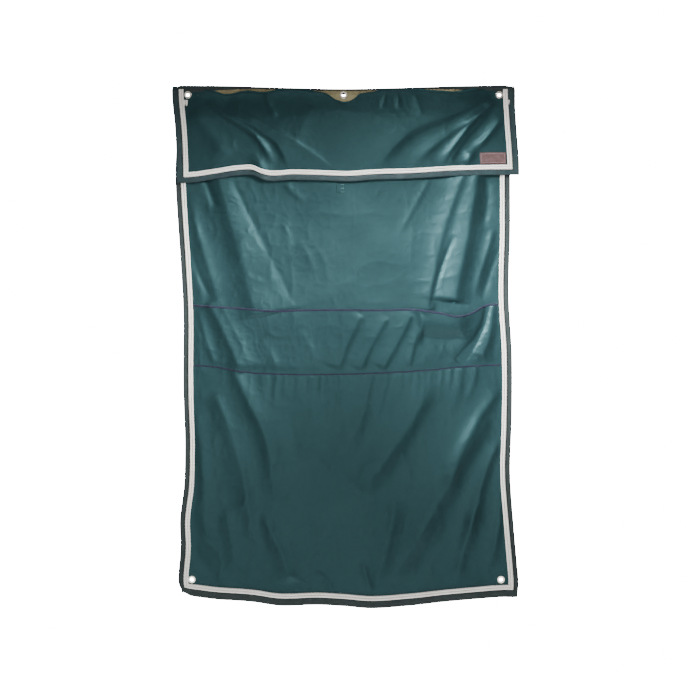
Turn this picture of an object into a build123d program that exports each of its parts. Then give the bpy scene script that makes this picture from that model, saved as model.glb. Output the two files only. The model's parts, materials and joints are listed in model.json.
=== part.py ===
from build123d import *
import os

# Stable curtain: a cloth drape that hangs across a stall front from three eyelets.
#
# A double main panel carries a wide pocket.  A storm flap folds down over its head, and
# lifts about the line just under the top eyelets.  Millimetres, +Z up, X to the right.
# The front of the curtain faces -Y.  The origin is on the axis of the centre top eyelet,
# in the plane of the main panel's front face.  The main panel hangs a little to the right
# of the flap's middle, so its own pieces are made about its middle and then moved across.

os.makedirs("parts", exist_ok=True)

# ---- driving dimensions: overall
CURTAIN_HEIGHT = 1800.0
FLAP_WIDTH = 1200.0
MAIN_WIDTH = 1180.0
MAIN_SHIFT = 10.0
FLAP_DROP = 330.0
HEAD_ABOVE_EYELET = 28.0

# ---- cloth, tape and cord
SHELL_THICKNESS = 1.5
LINING_THICKNESS = 1.0
FACING_THICKNESS = 1.2
FACING_HEIGHT = 110.0
TAPE_THICKNESS = 1.0
SIDE_BINDING = 18.0
BOTTOM_BINDING = 26.0
TOP_BINDING = 12.0
FLAP_SIDE_BINDING = 23.0
FLAP_BOTTOM_BINDING = 18.0
CORD_WIDTH = 8.0
CORD_HEIGHT = 5.5
CORD_GAP = 0.6
CORD_CORNER = 6.0
WEBBING_HEIGHT = 46.0
WEBBING_THICKNESS = 1.5

# ---- eyelets: a flanged barrel closed over a washer
EYELET_BORE = 6.5
EYELET_WALL = 1.2
EYELET_FLANGE = 13.0
EYELET_FLANGE_DEPTH = 1.8
WASHER_RADIUS = 12.0
WASHER_DEPTH = 1.2
LIP_RADIUS = 9.6
LIP_DEPTH = 1.2
TOP_EYELET_X = 545.0
BOTTOM_EYELET_X = 541.0
BOTTOM_EYELET_UP = 76.0
CORNER_PATCH = 68.0

# ---- pocket across the middle
POCKET_TOP_DOWN = 782.0
POCKET_HEIGHT = 218.0
POCKET_DEPTH = 34.0
POCKET_WALL = 1.5
POCKET_SWELL = 44.0
POCKET_HEM = 7.0
POCKET_HEM_THICKNESS = 0.8
SEAM_TAPE_HEIGHT = 7.0
SEAM_TAPE_THICKNESS = 1.2

# ---- flap, its fold and its name patch
FOLD_DOWN = 18.0
FOLD_GAP = 0.5
FLAP_BACK_Y = -6.5
PATCH_WIDTH = 92.0
PATCH_HEIGHT = 44.0
PATCH_THICKNESS = 2.0
PATCH_CORNER = 3.0
PATCH_MARGIN = 3.5
STITCH_INSET = 4.0
STITCH_WIDTH = 1.2
STITCH_HEIGHT = 0.5
TACK_WIDTH = 26.0
TACK_HEIGHT = 34.0
TACK_THICKNESS = 1.2
TACK_BELOW_FLAP = 8.0

# ---- levels and depths that follow from them
TOP_Z = HEAD_ABOVE_EYELET
BOTTOM_Z = TOP_Z - CURTAIN_HEIGHT
FLAP_BOTTOM_Z = TOP_Z - FLAP_DROP
FOLD_Z = -FOLD_DOWN
HEADER_BOTTOM_Z = FOLD_Z + FOLD_GAP
FLAP_TOP_Z = FOLD_Z - FOLD_GAP
POCKET_TOP_Z = TOP_Z - POCKET_TOP_DOWN
POCKET_BOTTOM_Z = POCKET_TOP_Z - POCKET_HEIGHT
BOTTOM_EYELET_Z = BOTTOM_Z + BOTTOM_EYELET_UP

LINING_BACK = SHELL_THICKNESS + LINING_THICKNESS
WEBBING_BACK = LINING_BACK + WEBBING_THICKNESS
FACING_FRONT = -FACING_THICKNESS
HEADER_FRONT = FACING_FRONT - SHELL_THICKNESS
FLAP_LINING_BACK = FLAP_BACK_Y - TAPE_THICKNESS
FLAP_SHELL_BACK = FLAP_LINING_BACK - LINING_THICKNESS
FLAP_FRONT = FLAP_SHELL_BACK - SHELL_THICKNESS

MAIN_HALF = MAIN_WIDTH / 2
FLAP_HALF = FLAP_WIDTH / 2
CORD_PAIR = 2 * CORD_WIDTH + CORD_GAP
MAIN_CORD_OUTSIDE = MAIN_HALF - SIDE_BINDING - CORD_GAP
MAIN_CORD_INSIDE = MAIN_CORD_OUTSIDE - CORD_PAIR
POCKET_HALF = MAIN_CORD_INSIDE - 1.0
FLAP_CORD_OUTSIDE = FLAP_HALF - FLAP_SIDE_BINDING - CORD_GAP
FLAP_CORD_INSIDE = FLAP_CORD_OUTSIDE - CORD_PAIR
WEBBING_HALF = MAIN_HALF - SIDE_BINDING - 1.0

TOP_EYELETS = [(x, 0.0) for x in (-TOP_EYELET_X, 0.0, TOP_EYELET_X)]
BOTTOM_EYELETS = [(MAIN_SHIFT + x, BOTTOM_EYELET_Z) for x in (-BOTTOM_EYELET_X, BOTTOM_EYELET_X)]


def slab(x_low, x_high, y_low, y_high, z_low, z_high):
    """A flat piece between two corners."""
    size = (x_high - x_low, y_high - y_low, z_high - z_low)
    block = Box(*size, align=(Align.MIN, Align.MIN, Align.MIN))
    return Pos(x_low, y_low, z_low) * block


def drum(x, z, radius, y_front, y_back):
    """A round disc or rod along Y, centred on an eyelet's axis."""
    depth = y_back - y_front
    rod = Cylinder(radius, depth, align=(Align.CENTER, Align.CENTER, Align.MIN))
    return Pos(x, y_front, z) * Rot(-90, 0, 0) * rod


def pierced(shape, centres, radius, y_front, y_back):
    """The piece with a hole for each eyelet barrel."""
    for x, z in centres:
        shape = shape - drum(x, z, radius, y_front - 1, y_back + 1)
    return shape


def hung(shape):
    """A piece of the main panel, moved from the panel's own middle to where it hangs."""
    return Pos(MAIN_SHIFT, 0, 0) * shape


def channel(x_low, x_high, y_low, y_high, z_low, z_high, open_side):
    """Folded tape: a block whose inside is cut out towards one side, as a U over an edge."""
    body = slab(x_low, x_high, y_low, y_high, z_low, z_high)
    wall = TAPE_THICKNESS
    cut = {
        "x_low": x_low + wall,
        "x_high": x_high - wall,
        "z_low": z_low - 1,
        "z_high": z_high + 1,
    }
    if open_side in ("up", "down"):
        cut.update(x_low=x_low - 1, x_high=x_high + 1, z_low=z_low + wall, z_high=z_high - wall)
    past = {"right": "x_high", "left": "x_low", "up": "z_high", "down": "z_low"}[open_side]
    cut[past] += 1 + wall if past.endswith("high") else -1 - wall
    hollow = slab(
        cut["x_low"], cut["x_high"], y_low + wall, y_high - wall, cut["z_low"], cut["z_high"]
    )
    return body - hollow


def cord_loop(outside_half, width, bottom_z, top_z, base_y):
    """One braided cord sewn down as a U: down the left side, along the foot, up the right."""
    outer = Pos(0, (top_z + bottom_z) / 2) * Rectangle(2 * outside_half, top_z - bottom_z)
    inside_half = outside_half - width
    inner_low = bottom_z + width
    inner = Pos(0, (top_z + inner_low) / 2) * Rectangle(2 * inside_half, top_z - inner_low)
    outer = fillet(outer.vertices().sort_by(Axis.Y)[:2], CORD_CORNER + width)
    inner = fillet(inner.vertices().sort_by(Axis.Y)[:2], CORD_CORNER)
    band = extrude(outer - inner, CORD_HEIGHT)
    crown = band.faces().sort_by(Axis.Z)[-1]
    long_edges = [edge for edge in crown.edges() if edge.length > 2 * width]
    turns = [edge for edge in crown.edges() if edge.geom_type == GeomType.CIRCLE]
    band = fillet(list({id(edge): edge for edge in long_edges + turns}.values()), width * 0.3)
    return Pos(0, base_y, 0) * Rot(90, 0, 0) * band


def save(shape, node):
    export_step(shape, f"parts/{node}.step")


# ---- main panel, its lining and what stiffens its head
BARREL = EYELET_BORE + EYELET_WALL
ALL_EYELETS = TOP_EYELETS + BOTTOM_EYELETS
EDGE = TAPE_THICKNESS


def make_main_panel():
    cloth = slab(
        EDGE - MAIN_HALF, MAIN_HALF - EDGE, 0, SHELL_THICKNESS, BOTTOM_Z + EDGE, TOP_Z - EDGE
    )
    return pierced(hung(cloth), ALL_EYELETS, BARREL, 0, SHELL_THICKNESS)


def make_panel_lining():
    cloth = slab(
        EDGE - MAIN_HALF,
        MAIN_HALF - EDGE,
        SHELL_THICKNESS,
        LINING_BACK,
        BOTTOM_Z + EDGE,
        TOP_Z - EDGE,
    )
    return pierced(hung(cloth), ALL_EYELETS, BARREL, SHELL_THICKNESS, LINING_BACK)


def make_heading_webbing():
    strip = slab(
        -WEBBING_HALF, WEBBING_HALF, LINING_BACK, WEBBING_BACK, TOP_Z - WEBBING_HEIGHT, TOP_Z - EDGE
    )
    return pierced(hung(strip), TOP_EYELETS, BARREL, LINING_BACK, WEBBING_BACK)


def make_top_facing():
    strip = slab(-POCKET_HALF, POCKET_HALF, FACING_FRONT, 0, TOP_Z - FACING_HEIGHT, TOP_Z - EDGE)
    return pierced(hung(strip), TOP_EYELETS, BARREL, FACING_FRONT, 0)


def make_flap_header():
    strip = slab(
        EDGE - FLAP_HALF,
        FLAP_HALF - EDGE,
        HEADER_FRONT,
        FACING_FRONT,
        HEADER_BOTTOM_Z,
        TOP_Z - EDGE,
    )
    return pierced(strip, TOP_EYELETS, BARREL, HEADER_FRONT, FACING_FRONT)


# ---- folded tapes round the edges of the panel and its header
def make_top_binding():
    return channel(
        -FLAP_HALF,
        FLAP_HALF,
        HEADER_FRONT - EDGE,
        WEBBING_BACK + EDGE,
        TOP_Z - TOP_BINDING,
        TOP_Z,
        "down",
    )


def make_side_binding(side):
    x_low, x_high = (-MAIN_HALF, SIDE_BINDING - MAIN_HALF)
    if side > 0:
        x_low, x_high = (MAIN_HALF - SIDE_BINDING, MAIN_HALF)
    open_side = "left" if side > 0 else "right"
    top = TOP_Z - TOP_BINDING
    return hung(channel(x_low, x_high, -EDGE, LINING_BACK + EDGE, BOTTOM_Z, top, open_side))


def make_bottom_binding():
    half = MAIN_HALF - SIDE_BINDING
    top = BOTTOM_Z + BOTTOM_BINDING
    return hung(channel(-half, half, -EDGE, LINING_BACK + EDGE, BOTTOM_Z, top, "up"))


def header_side_binding(side):
    """The short run of the flap's side tape that stays on the fixed header."""
    x_low, x_high = (-FLAP_HALF, FLAP_SIDE_BINDING - FLAP_HALF)
    if side > 0:
        x_low, x_high = (FLAP_HALF - FLAP_SIDE_BINDING, FLAP_HALF)
    open_side = "left" if side > 0 else "right"
    front = HEADER_FRONT - EDGE
    back = FACING_FRONT
    tape = channel(
        x_low, x_high, front, back, HEADER_BOTTOM_Z, TOP_Z - TOP_BINDING, open_side
    )
    header = slab(
        -FLAP_HALF + EDGE, FLAP_HALF - EDGE, HEADER_FRONT, back + 1, BOTTOM_Z, TOP_Z
    )
    return tape - header


def make_header_side_bindings():
    return Compound([header_side_binding(side).solid() for side in (-1, 1)])


# ---- piping: two braided cords side by side, just inside the tapes
def make_main_cord(step_in):
    outside = MAIN_CORD_OUTSIDE - step_in
    foot = BOTTOM_Z + BOTTOM_BINDING + CORD_GAP + step_in
    return hung(cord_loop(outside, CORD_WIDTH, foot, FOLD_Z, 0))


def make_flap_cord(step_in):
    outside = FLAP_CORD_OUTSIDE - step_in
    foot = FLAP_BOTTOM_Z + FLAP_BOTTOM_BINDING + CORD_GAP + step_in
    return cord_loop(outside, CORD_WIDTH, foot, FLAP_TOP_Z, FLAP_FRONT)


def make_header_cords():
    """The tops of the flap's cords, on the fixed header."""
    stubs = []
    top = TOP_Z - TOP_BINDING - CORD_GAP
    for side in (-1, 1):
        for step_in in (0, CORD_WIDTH + CORD_GAP):
            outer = side * (FLAP_CORD_OUTSIDE - step_in)
            inner = outer - side * CORD_WIDTH
            x_low, x_high = sorted((outer, inner))
            front = HEADER_FRONT - CORD_HEIGHT
            stub = slab(x_low, x_high, front, HEADER_FRONT, HEADER_BOTTOM_Z, top)
            crown = stub.faces().sort_by(Axis.Y)[0]
            long_edges = [edge for edge in crown.edges() if edge.length > 2 * CORD_WIDTH]
            stubs.append(fillet(long_edges, CORD_WIDTH * 0.3).solid())
    return Compound(stubs)


# ---- pocket: a cloth trough sewn to the panel at its foot and both ends
def pocket_outline(depth, foot_z, top_z, swell):
    """The side outline: out from the seam in a round belly, then straight up to the mouth."""
    with BuildSketch(Plane.YZ) as sketch:
        with BuildLine():
            Line((0, foot_z), (0, top_z))
            Line((0, top_z), (-depth, top_z))
            Line((-depth, top_z), (-depth, foot_z + swell))
            Spline(
                (-depth, foot_z + swell),
                (0, foot_z),
                tangents=((0, -1), (1, -0.35)),
            )
        make_face()
    return sketch.sketch


def make_pocket_front():
    foot = POCKET_BOTTOM_Z + SEAM_TAPE_HEIGHT
    top = POCKET_TOP_Z - POCKET_HEM_THICKNESS
    outer = extrude(pocket_outline(POCKET_DEPTH, foot, top, POCKET_SWELL), POCKET_HALF, both=True)
    inner_depth = POCKET_DEPTH - POCKET_WALL
    inner_half = POCKET_HALF - POCKET_WALL
    inner_foot = foot + 2 * POCKET_WALL
    outline = pocket_outline(inner_depth, inner_foot, top + 1, POCKET_SWELL - POCKET_WALL)
    return hung(outer - extrude(outline, inner_half, both=True))


def make_pocket_top_binding():
    """Narrow tape folded over the pocket's free edge."""
    top = POCKET_TOP_Z
    thick = POCKET_HEM_THICKNESS
    wall = POCKET_WALL
    front = -POCKET_DEPTH
    tape = slab(
        -POCKET_HALF, POCKET_HALF, front - thick, front + wall + thick, top - POCKET_HEM, top
    )
    cloth = slab(
        -POCKET_HALF - 1, POCKET_HALF + 1, front, front + wall, top - POCKET_HEM - 1, top - thick
    )
    ends = []
    for side in (-1, 1):
        x_low, x_high = sorted((side * (POCKET_HALF - wall), side * (POCKET_HALF + 1)))
        ends.append(
            slab(x_low, x_high, front, front + wall + thick + 1, top - POCKET_HEM - 1, top - thick)
        )
    return hung(tape - cloth - ends[0] - ends[1])


def make_pocket_seam_tape():
    half_tape = SEAM_TAPE_HEIGHT / 2
    foot = POCKET_BOTTOM_Z - half_tape
    top = POCKET_BOTTOM_Z + half_tape
    return hung(slab(-POCKET_HALF, POCKET_HALF, -SEAM_TAPE_THICKNESS, 0, foot, top))


# ---- eyelets and washers
def eyelet(x, z, front_y, back_y):
    """A flange on the cloth's face, a barrel through it and a lip rolled over the washer."""
    flange = drum(x, z, EYELET_FLANGE, front_y - EYELET_FLANGE_DEPTH, front_y)
    rim = flange.edges().sort_by(Axis.Y)[0]
    flange = fillet(rim, EYELET_FLANGE_DEPTH * 0.6)
    lip_front = back_y + WASHER_DEPTH
    barrel = drum(x, z, BARREL, front_y, lip_front)
    lip = drum(x, z, LIP_RADIUS, lip_front, lip_front + LIP_DEPTH)
    bore = drum(x, z, EYELET_BORE, front_y - 2 * EYELET_FLANGE_DEPTH, lip_front + 2 * LIP_DEPTH)
    return (flange + barrel + lip - bore).solid()


def washer(x, z, back_y):
    disc = drum(x, z, WASHER_RADIUS, back_y, back_y + WASHER_DEPTH)
    return (disc - drum(x, z, BARREL, back_y - 1, back_y + WASHER_DEPTH + 1)).solid()


def make_eyelets(centres, front_y, back_y):
    return Compound([eyelet(x, z, front_y, back_y) for x, z in centres])


def make_washers(centres, back_y):
    return Compound([washer(x, z, back_y) for x, z in centres])


# ---- reinforcing patches
PATCH_BACK = LINING_BACK + SHELL_THICKNESS


def make_bottom_corner_patches():
    """Cloth squares on the back, behind the two bottom eyelets."""
    patches = []
    for x, z in BOTTOM_EYELETS:
        side = 1 if x > 0 else -1
        outer = MAIN_SHIFT + side * WEBBING_HALF
        x_low, x_high = sorted((outer, outer - side * CORNER_PATCH))
        foot = BOTTOM_Z + BOTTOM_BINDING + 1.0
        patch = slab(x_low, x_high, LINING_BACK, PATCH_BACK, foot, foot + CORNER_PATCH)
        patches.append(pierced(patch, [(x, z)], BARREL, LINING_BACK, PATCH_BACK).solid())
    return Compound(patches)


def make_centre_tack_patch():
    top = FLAP_BOTTOM_Z - TACK_BELOW_FLAP
    return slab(-TACK_WIDTH / 2, TACK_WIDTH / 2, -TACK_THICKNESS, 0, top - TACK_HEIGHT, top)


# ---- flap
def make_flap_panel():
    return slab(
        EDGE - FLAP_HALF,
        FLAP_HALF - EDGE,
        FLAP_FRONT,
        FLAP_SHELL_BACK,
        FLAP_BOTTOM_Z + EDGE,
        FLAP_TOP_Z,
    )


def make_flap_lining():
    return slab(
        EDGE - FLAP_HALF,
        FLAP_HALF - EDGE,
        FLAP_SHELL_BACK,
        FLAP_LINING_BACK,
        FLAP_BOTTOM_Z + EDGE,
        FLAP_TOP_Z,
    )


def make_flap_side_binding(side):
    x_low, x_high = (-FLAP_HALF, FLAP_SIDE_BINDING - FLAP_HALF)
    if side > 0:
        x_low, x_high = (FLAP_HALF - FLAP_SIDE_BINDING, FLAP_HALF)
    open_side = "left" if side > 0 else "right"
    front = FLAP_FRONT - EDGE
    return channel(x_low, x_high, front, FLAP_BACK_Y, FLAP_BOTTOM_Z, FLAP_TOP_Z, open_side)


def make_flap_bottom_binding():
    half = FLAP_HALF - FLAP_SIDE_BINDING
    top = FLAP_BOTTOM_Z + FLAP_BOTTOM_BINDING
    return channel(-half, half, FLAP_FRONT - EDGE, FLAP_BACK_Y, FLAP_BOTTOM_Z, top, "up")


PATCH_RIGHT = FLAP_CORD_INSIDE - PATCH_MARGIN
PATCH_X = PATCH_RIGHT - PATCH_WIDTH / 2
PATCH_FOOT = FLAP_BOTTOM_Z + FLAP_BOTTOM_BINDING + CORD_GAP + CORD_PAIR + PATCH_MARGIN
PATCH_Z = PATCH_FOOT + PATCH_HEIGHT / 2
PATCH_FRONT = FLAP_FRONT - PATCH_THICKNESS


def plate_on_flap(sketch, thickness, back_y):
    """A flat outline drawn in X and Z, thickened forwards from a depth."""
    plate = extrude(sketch, thickness)
    return Pos(PATCH_X, back_y, PATCH_Z) * Rot(90, 0, 0) * plate


def make_name_patch():
    outline = RectangleRounded(PATCH_WIDTH, PATCH_HEIGHT, PATCH_CORNER)
    return plate_on_flap(outline, PATCH_THICKNESS, FLAP_FRONT)


def make_name_patch_stitching():
    wide = PATCH_WIDTH - 2 * STITCH_INSET
    high = PATCH_HEIGHT - 2 * STITCH_INSET
    outside = RectangleRounded(wide, high, PATCH_CORNER)
    inside = RectangleRounded(
        wide - 2 * STITCH_WIDTH, high - 2 * STITCH_WIDTH, PATCH_CORNER - STITCH_WIDTH
    )
    return plate_on_flap(outside - inside, STITCH_HEIGHT, PATCH_FRONT)


# ---- write every piece
INNER_STEP = CORD_WIDTH + CORD_GAP

save(make_main_panel(), "main_panel")
save(make_panel_lining(), "panel_lining")
save(make_heading_webbing(), "heading_webbing")
save(make_top_facing(), "top_facing")
save(make_flap_header(), "flap_header")
save(make_top_binding(), "top_binding")
save(make_side_binding(-1), "left_side_binding")
save(make_side_binding(1), "right_side_binding")
save(make_bottom_binding(), "bottom_binding")
save(make_header_side_bindings(), "header_side_bindings")
save(make_main_cord(0), "outer_piping_cord")
save(make_main_cord(INNER_STEP), "inner_piping_cord")
save(make_header_cords(), "header_piping_cords")
save(make_pocket_front(), "pocket_front")
save(make_pocket_top_binding(), "pocket_top_binding")
save(make_pocket_seam_tape(), "pocket_seam_tape")
save(make_eyelets(TOP_EYELETS, HEADER_FRONT, WEBBING_BACK), "top_eyelets")
save(make_washers(TOP_EYELETS, WEBBING_BACK), "top_eyelet_washers")
save(make_eyelets(BOTTOM_EYELETS, 0, PATCH_BACK), "bottom_eyelets")
save(make_washers(BOTTOM_EYELETS, PATCH_BACK), "bottom_eyelet_washers")
save(make_bottom_corner_patches(), "bottom_corner_patches")
save(make_centre_tack_patch(), "centre_tack_patch")
save(make_flap_panel(), "flap_panel")
save(make_flap_lining(), "flap_lining")
save(make_flap_side_binding(-1), "flap_left_binding")
save(make_flap_side_binding(1), "flap_right_binding")
save(make_flap_bottom_binding(), "flap_bottom_binding")
save(make_flap_cord(0), "flap_outer_piping_cord")
save(make_flap_cord(INNER_STEP), "flap_inner_piping_cord")
save(make_name_patch(), "name_patch")
save(make_name_patch_stitching(), "name_patch_stitching")
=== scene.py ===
# %% [markdown]
# # A stable curtain in nylon, cord and nickel
#
# This lesson dresses a plain engineering model of a stable curtain.  The frame holds
# flat plates where the real thing has hanging cloth.  Here each plate is replaced by
# cloth that sags, folds and puckers, and everything sewn to the cloth follows it.
# The metal eyelets are kept as they are, because the hooks need them where they are.

# %% Load the frame
import bpy
import json
import math
import numpy as np
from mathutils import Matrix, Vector


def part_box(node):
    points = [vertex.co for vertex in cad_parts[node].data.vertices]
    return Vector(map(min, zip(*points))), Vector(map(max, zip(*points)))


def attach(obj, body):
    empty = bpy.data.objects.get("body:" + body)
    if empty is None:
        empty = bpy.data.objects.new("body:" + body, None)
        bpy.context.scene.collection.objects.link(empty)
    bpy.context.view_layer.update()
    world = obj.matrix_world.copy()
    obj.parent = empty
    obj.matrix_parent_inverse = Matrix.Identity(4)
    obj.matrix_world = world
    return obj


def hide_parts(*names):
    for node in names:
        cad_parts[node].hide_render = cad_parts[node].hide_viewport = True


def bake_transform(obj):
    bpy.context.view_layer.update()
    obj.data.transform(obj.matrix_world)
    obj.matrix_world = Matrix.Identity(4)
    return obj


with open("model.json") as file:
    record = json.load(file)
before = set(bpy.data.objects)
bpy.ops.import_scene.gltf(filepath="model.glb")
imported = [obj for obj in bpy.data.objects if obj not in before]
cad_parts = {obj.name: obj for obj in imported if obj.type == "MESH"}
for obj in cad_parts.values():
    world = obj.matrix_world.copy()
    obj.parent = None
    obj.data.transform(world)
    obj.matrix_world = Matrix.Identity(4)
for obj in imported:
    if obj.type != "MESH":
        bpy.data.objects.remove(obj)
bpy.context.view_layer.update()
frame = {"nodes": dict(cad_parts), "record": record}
MM = 0.001

# %% [markdown]
# ## The camera comes first
#
# The curtain hangs square to the viewer, so a long lens straight in front keeps its
# sides upright.  The view is a little under two and a half metres wide at the cloth.

# %% Camera
VIEW_WIDTH = 2.415
CAMERA_DISTANCE = 6.0
VIEW_MIDDLE = Vector((0.005, 0.0, -0.875))
SENSOR = 36.0

camera_data = bpy.data.cameras.new("front_camera")
camera_data.sensor_width = SENSOR
camera_data.lens = SENSOR * CAMERA_DISTANCE / VIEW_WIDTH
camera = bpy.data.objects.new("front_camera", camera_data)
camera.location = VIEW_MIDDLE + Vector((0, -CAMERA_DISTANCE, 0))
camera.rotation_euler = (math.radians(90), 0, 0)
bpy.context.collection.objects.link(camera)
bpy.context.scene.camera = camera
print("lens:", round(camera_data.lens, 1), "mm")

# %% [markdown]
# ## Measurements, all taken from the frame
#
# A pattern cutter works on a flat table.  So every place on the curtain is given here
# in pattern coordinates: x across, from the middle of the head, and d down from the
# head's edge.  Later one function turns pattern places into hanging places.

# %% Edges and levels
def low(node):
    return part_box(node)[0]


def high(node):
    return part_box(node)[1]


HEAD_Z = high("top_binding").z
FOOT = HEAD_Z - low("bottom_binding").z
MAIN_LEFT = low("left_side_binding").x
MAIN_RIGHT = high("right_side_binding").x
MAIN_BINDING = high("left_side_binding").x - MAIN_LEFT
FOOT_BINDING = high("bottom_binding").z - low("bottom_binding").z
FLAP_LEFT = low("flap_left_binding").x
FLAP_RIGHT = high("flap_right_binding").x
FLAP_FOOT = HEAD_Z - low("flap_bottom_binding").z
FLAP_BINDING = high("flap_left_binding").x - FLAP_LEFT
FLAP_FOOT_BINDING = high("flap_bottom_binding").z - low("flap_bottom_binding").z
HEADER_FRONT = -low("flap_header").y
MOUTH_D = HEAD_Z - high("pocket_top_binding").z
SEAM_D = HEAD_Z - (high("pocket_seam_tape").z + low("pocket_seam_tape").z) / 2
POCKET_LEFT = low("pocket_front").x
POCKET_RIGHT = high("pocket_front").x
CORD_RADIUS = 4.2 * MM
CORD_STEP = 8.6 * MM
CORD_INSET = 4.4 * MM
SHEET_TOP = 0.003
TAPE_TOP = 0.012

mounts = {m["name"]: Vector(m["pos_m"]) for m in frame["record"]["mounts"]}
TOP_EYELETS = [p for n, p in sorted(mounts.items()) if n.startswith("top")]
FOOT_EYELETS = [p for n, p in sorted(mounts.items()) if n.startswith("bottom")]
print("main", round(MAIN_LEFT, 3), round(MAIN_RIGHT, 3), "foot", round(FOOT, 3))
print("flap", FLAP_LEFT, FLAP_RIGHT, round(FLAP_FOOT, 3))

# %% [markdown]
# ## Smooth lines through a few points
#
# An edge that droops or a seam that bows is described by a handful of points.  A
# Hermite curve through them bends evenly, and stays level beyond both ends.

# %% Curves and fades
def curve(points, at):
    """Smooth line through (place, value) pairs, level beyond both ends."""
    places, values = np.array(points, float).T
    slopes = np.gradient(values, places)
    slopes[0] = slopes[-1] = 0
    at = np.clip(at, places[0], places[-1])
    k = np.clip(np.searchsorted(places, at) - 1, 0, len(places) - 2)
    gap = places[k + 1] - places[k]
    t = (at - places[k]) / gap
    rise = (2 * t**3 - 3 * t**2 + 1) * values[k] + (3 * t**2 - 2 * t**3) * values[k + 1]
    lean = (t**3 - 2 * t**2 + t) * slopes[k] + (t**3 - t**2) * slopes[k + 1]
    return rise + gap * lean


def fade(start, end, at):
    """0 before start, 1 after end, smooth between; start may be the larger."""
    t = np.clip((at - start) / (end - start), 0, 1)
    return t * t * (3 - 2 * t)


# %% [markdown]
# ## Folds
#
# A fold in hanging cloth is a long ridge.  It starts narrow where the cloth is held
# and fans out.  Its two sides differ: one is a slow slope, the other drops sharply.
# Each fold is a path of two to four points, the reach of each side at both ends, and
# a height, below nothing for a gully.  All are in millimetres, as chalked on the cloth.

# %% One fold
def fold_height(x, d, path, near, far, height, ends=(0.25, 0.3)):
    """Height at (x, d) of a ridge along path.

    near is how far it spreads to the viewer's left of the path, at its start and at
    its end, and far is the same to the right.  ends are the shares of the length over
    which it rises and dies away.
    """
    path = np.array(path, float) * MM
    knots = np.linspace(0, 1, len(path))
    fine = np.linspace(0, 1, 25)
    line_x = curve(list(zip(knots, path[:, 0])), fine)
    line_d = curve(list(zip(knots, path[:, 1])), fine)
    reach = 3.2 * MM * max(near[0], near[1], far[0], far[1])
    out = np.zeros_like(x)
    inside = (x > line_x.min() - reach) & (x < line_x.max() + reach)
    inside &= (d > line_d.min() - reach) & (d < line_d.max() + reach)
    if not inside.any():
        return out
    px, pd = x[inside], d[inside]
    best = np.full(px.shape, 1e9)
    along = np.zeros_like(px)
    side = np.zeros_like(px)
    for i in range(len(fine) - 1):
        ax, ad = line_x[i], line_d[i]
        ux, ud = line_x[i + 1] - ax, line_d[i + 1] - ad
        length = ux * ux + ud * ud
        t = np.clip(((px - ax) * ux + (pd - ad) * ud) / length, 0, 1)
        off_x, off_d = px - ax - t * ux, pd - ad - t * ud
        gap = off_x * off_x + off_d * off_d
        closer = gap < best
        best = np.where(closer, gap, best)
        along = np.where(closer, (i + t) / (len(fine) - 1), along)
        side = np.where(closer, np.sign(ux * off_d - ud * off_x), side)
    distance = np.sqrt(best) / MM
    left = near[0] + (near[1] - near[0]) * along
    right = far[0] + (far[1] - far[0]) * along
    reach_here = np.where(side > 0, left, right)
    crest = np.exp(-((distance / reach_here) ** 1.6))
    swell = fade(0, ends[0], along) * fade(1, 1 - ends[1], along)
    out[inside] = height * MM * crest * swell
    return out


def folded(x, d, folds):
    total = np.zeros_like(x)
    for one in folds:
        total += fold_height(x, d, *one)
    return total


# %% [markdown]
# ## Crinkle
#
# Light proofed nylon never lies quite flat: it keeps a net of small creases from being
# folded away.  Ridged noise draws them, because its creases are lines, not dots.

# %% Crinkle noise
def smooth_noise(x, d, size, seed):
    """Value noise from -1 to 1 whose bumps are about size metres across."""
    rng = np.random.default_rng(seed)
    lattice = rng.uniform(-1, 1, (96, 96))
    gx, gd = x / size + 31.7, d / size + 17.3
    ix, jd = np.floor(gx).astype(int), np.floor(gd).astype(int)
    fx, fd = gx - ix, gd - jd
    fx = fx**3 * (fx * (fx * 6 - 15) + 10)
    fd = fd**3 * (fd * (fd * 6 - 15) + 10)
    a = lattice[ix % 96, jd % 96]
    b = lattice[(ix + 1) % 96, jd % 96]
    c = lattice[ix % 96, (jd + 1) % 96]
    e = lattice[(ix + 1) % 96, (jd + 1) % 96]
    return (a * (1 - fx) + b * fx) * (1 - fd) + (c * (1 - fx) + e * fx) * fd


def crinkle(x, d, size, seed):
    """Creased noise: sharp lines with soft ground between."""
    bent_x = x + 0.35 * size * smooth_noise(x, d, size * 1.7, seed + 1)
    bent_d = d + 0.35 * size * smooth_noise(x, d, size * 1.7, seed + 2)
    ridge = 1 - np.abs(smooth_noise(bent_x, bent_d, size, seed))
    return ridge**3 - 0.3


# %% [markdown]
# ## Where a pattern place hangs
#
# One function per cloth turns pattern coordinates into places in the air.  It shifts
# the sides in and out, lets the seams bow, and pushes the cloth forwards in folds.
# Everything sewn on uses the same function, so nothing can come away from the cloth.

# %% How the main panel hangs: sideways and down
LEFT_PULL = [(300, -8), (460, 0), (610, 10), (800, 20), (1080, 20), (1290, 26),
             (1420, 22), (1540, 8), (1630, 10), (1740, 2), (1800, 2)]
RIGHT_PULL = [(300, -18), (500, -18), (760, -23), (960, -12), (1210, -13), (1360, -18),
              (1550, -5), (1670, 6), (1760, 12), (1800, 8)]
SEAM_BOW = [(-550, -26), (-457, -20), (-415, -13), (-348, -2), (-247, 3), (-121, 6),
            (0, 4), (131, 0), (257, -7), (341, -14), (425, -22), (560, -28)]
FOOT_BOW = [(-580, -20), (-540, -18), (-457, -8), (-314, 3), (-239, 14), (-87, 12),
            (0, 17), (81, 24), (215, 16), (341, 2), (467, -9), (560, -15), (600, -14)]


def metres(points):
    return [(a * MM, b * MM) for a, b in points]


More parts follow.
